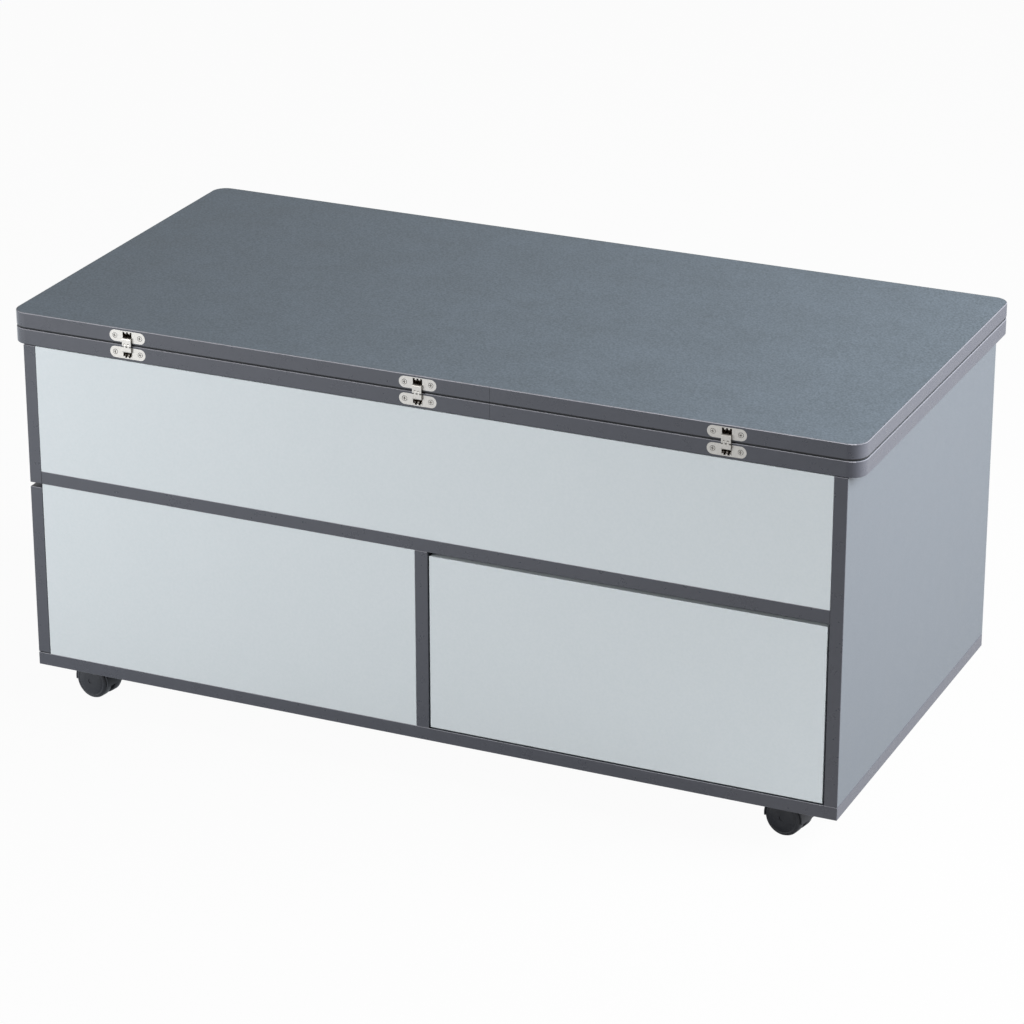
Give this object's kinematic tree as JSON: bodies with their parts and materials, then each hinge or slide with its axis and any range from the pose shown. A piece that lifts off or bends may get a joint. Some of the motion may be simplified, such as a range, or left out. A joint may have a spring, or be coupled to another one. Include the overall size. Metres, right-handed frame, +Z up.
{
  "type": "convertible coffee dining table",
  "caption": "Low lift-top table on casters whose folding double top rises on arms and opens into a dining table, with drawers in the front and one end.",
  "frame": {"origin": "on the floor under the middle of the closed top", "axes": "+X along the length to the right, front towards -Y, +Z up"},
  "size_m": [1, 0.4925, 0.477],
  "materials": {
    "slate_board": "blue-grey melamine board, fine pebble",
    "pale_board": "pale grey melamine board, satin",
    "edge_band": "dark grey plastic edge band, satin",
    "drawer_board": "light grey melamine board",
    "drawer_hardboard": "painted hardboard",
    "rail_plastic": "white moulded plastic",
    "bumper_rubber": "black rubber",
    "hinge_nickel": "nickel-plated zinc",
    "lift_paint": "black powder coat",
    "zinc_steel": "zinc-plated steel",
    "strut_chrome": "polished rod",
    "caster_plastic": "black moulded nylon"
  },
  "bodies": {
    "carcass": {"bottom_panel": "slate_board", "right_side_panel": "slate_board", "left_side_panel": "slate_board", "mid_shelf": "slate_board", "centre_divider": "slate_board", "upper_front_panel": "pale_board", "lower_front_panel": "pale_board", "upper_back_panel": "pale_board", "lower_back_panel": "pale_board", "front_drawer_rails": "rail_plastic", "end_drawer_rails": "rail_plastic", "rim_bumpers": "bumper_rubber", "lift_base_bracket_left": "lift_paint", "lift_base_bracket_right": "lift_paint", "lift_base_rivets": "zinc_steel", "caster_plates": "zinc_steel", "carcass_screws": "zinc_steel"},
    "front_drawer": {"front_drawer_front": "pale_board", "front_drawer_left_side": "drawer_board", "front_drawer_right_side": "drawer_board", "front_drawer_back": "drawer_board", "front_drawer_bottom": "drawer_hardboard"},
    "end_drawer": {"end_drawer_front": "slate_board", "end_drawer_back_side": "drawer_board", "end_drawer_front_side": "drawer_board", "end_drawer_back": "drawer_board", "end_drawer_bottom": "drawer_hardboard"},
    "main_arms": {"lift_main_arm_left": "lift_paint", "lift_main_arm_right": "lift_paint", "lift_cross_bar": "lift_paint", "lift_strut_pins": "zinc_steel"},
    "follower_arms": {"lift_follower_arm_left": "lift_paint", "lift_follower_arm_right": "lift_paint"},
    "strut_cylinders": {"strut_cylinders": "lift_paint"},
    "strut_rods": {"strut_rods": "strut_chrome"},
    "lower_leaf": {"lower_leaf": "slate_board", "lower_edge_band": "edge_band", "lift_top_bracket_left": "lift_paint", "lift_top_bracket_right": "lift_paint", "lift_top_rivets": "zinc_steel", "lift_top_screws": "zinc_steel", "hinge_lower_cups": "hinge_nickel", "hinge_lower_pins": "hinge_nickel", "hinge_lower_screws": "hinge_nickel"},
    "upper_leaf": {"upper_leaf": "slate_board", "upper_edge_band": "edge_band", "hinge_upper_cups": "hinge_nickel", "hinge_upper_pins": "hinge_nickel", "hinge_upper_screws": "hinge_nickel"},
    "lower_links": {"hinge_lower_links": "hinge_nickel", "hinge_centre_pins": "hinge_nickel"},
    "upper_links": {"hinge_upper_links": "hinge_nickel"},
    "caster_front_left_hood": {"caster_front_left_hood": "caster_plastic"},
    "caster_front_left_wheels": {"caster_front_left_wheels": "caster_plastic"},
    "caster_front_right_hood": {"caster_front_right_hood": "caster_plastic"},
    "caster_front_right_wheels": {"caster_front_right_wheels": "caster_plastic"},
    "caster_back_left_hood": {"caster_back_left_hood": "caster_plastic"},
    "caster_back_left_wheels": {"caster_back_left_wheels": "caster_plastic"},
    "caster_back_right_hood": {"caster_back_right_hood": "caster_plastic"},
    "caster_back_right_wheels": {"caster_back_right_wheels": "caster_plastic"}
  },
  "joints": [
    {"name": "lift", "type": "hinge", "parent": "carcass", "child": "main_arms", "pos_m": [0, 0.15, 0.39], "axis": [-1, 0, 0], "range_deg": [0, 78]},
    {"name": "follower_swing", "type": "hinge", "parent": "carcass", "child": "follower_arms", "pos_m": [0, 0.112, 0.343], "axis": [-1, 0, 0], "range_deg": [0, 78]},
    {"name": "top_level", "type": "hinge", "parent": "main_arms", "child": "lower_leaf", "pos_m": [0, -0.16, 0.39], "axis": [-1, 0, 0], "range_deg": [-78, 0]},
    {"name": "strut_swing", "type": "hinge", "parent": "carcass", "child": "strut_cylinders", "pos_m": [0, 0.15, 0.31], "axis": [-1, 0, 0], "range_deg": [0, 39]},
    {"name": "rod_swing", "type": "hinge", "parent": "main_arms", "child": "strut_rods", "pos_m": [0, 0.07, 0.39], "axis": [-1, 0, 0], "range_deg": [-39, 0]},
    {"name": "fold", "type": "hinge", "parent": "lower_leaf", "child": "upper_leaf", "pos_m": [0, -0.2455, 0.4585], "axis": [1, 0, 0], "range_deg": [0, 180]},
    {"name": "lower_link_swing", "type": "hinge", "parent": "lower_leaf", "child": "lower_links", "pos_m": [0, -0.24275, 0.453], "axis": [1, 0, 0], "range_deg": [0, 180]},
    {"name": "upper_link_swing", "type": "hinge", "parent": "upper_leaf", "child": "upper_links", "pos_m": [0, -0.24275, 0.464], "axis": [1, 0, 0], "range_deg": [-180, 0]},
    {"name": "front_drawer_slide", "type": "slide", "parent": "carcass", "child": "front_drawer", "axis": [0, -1, 0], "range_m": [0, 0.32]},
    {"name": "end_drawer_slide", "type": "slide", "parent": "carcass", "child": "end_drawer", "axis": [-1, 0, 0], "range_m": [0, 0.32]},
    {"name": "caster_front_left_swivel", "type": "hinge", "parent": "carcass", "child": "caster_front_left_hood", "pos_m": [-0.425, -0.195, 0.045], "axis": [0, 0, 1], "continuous": true},
    {"name": "caster_front_left_roll", "type": "hinge", "parent": "caster_front_left_hood", "child": "caster_front_left_wheels", "pos_m": [-0.43682, -0.19292, 0.0215], "axis": [0.1736, 0.9848, 0], "continuous": true},
    {"name": "caster_front_right_swivel", "type": "hinge", "parent": "carcass", "child": "caster_front_right_hood", "pos_m": [0.425, -0.195, 0.045], "axis": [0, 0, 1], "continuous": true},
    {"name": "caster_front_right_roll", "type": "hinge", "parent": "caster_front_right_hood", "child": "caster_front_right_wheels", "pos_m": [0.41318, -0.19292, 0.0215], "axis": [0.1736, 0.9848, 0], "continuous": true},
    {"name": "caster_back_left_swivel", "type": "hinge", "parent": "carcass", "child": "caster_back_left_hood", "pos_m": [-0.425, 0.195, 0.045], "axis": [0, 0, 1], "continuous": true},
    {"name": "caster_back_left_roll", "type": "hinge", "parent": "caster_back_left_hood", "child": "caster_back_left_wheels", "pos_m": [-0.43682, 0.19708, 0.0215], "axis": [0.1736, 0.9848, 0], "continuous": true},
    {"name": "caster_back_right_swivel", "type": "hinge", "parent": "carcass", "child": "caster_back_right_hood", "pos_m": [0.425, 0.195, 0.045], "axis": [0, 0, 1], "continuous": true},
    {"name": "caster_back_right_roll", "type": "hinge", "parent": "caster_back_right_hood", "child": "caster_back_right_wheels", "pos_m": [0.41318, 0.19708, 0.0215], "axis": [0.1736, 0.9848, 0], "continuous": true}
  ],
  "couplings": [
    {"joint": "follower_swing", "follows": "lift", "ratio": 1},
    {"joint": "top_level", "follows": "lift", "ratio": -1},
    {"joint": "strut_swing", "follows": "lift", "ratio": 0.5},
    {"joint": "rod_swing", "follows": "lift", "ratio": -0.5},
    {"joint": "lower_link_swing", "follows": "fold", "ratio": 1},
    {"joint": "upper_link_swing", "follows": "fold", "ratio": -1}
  ]
}
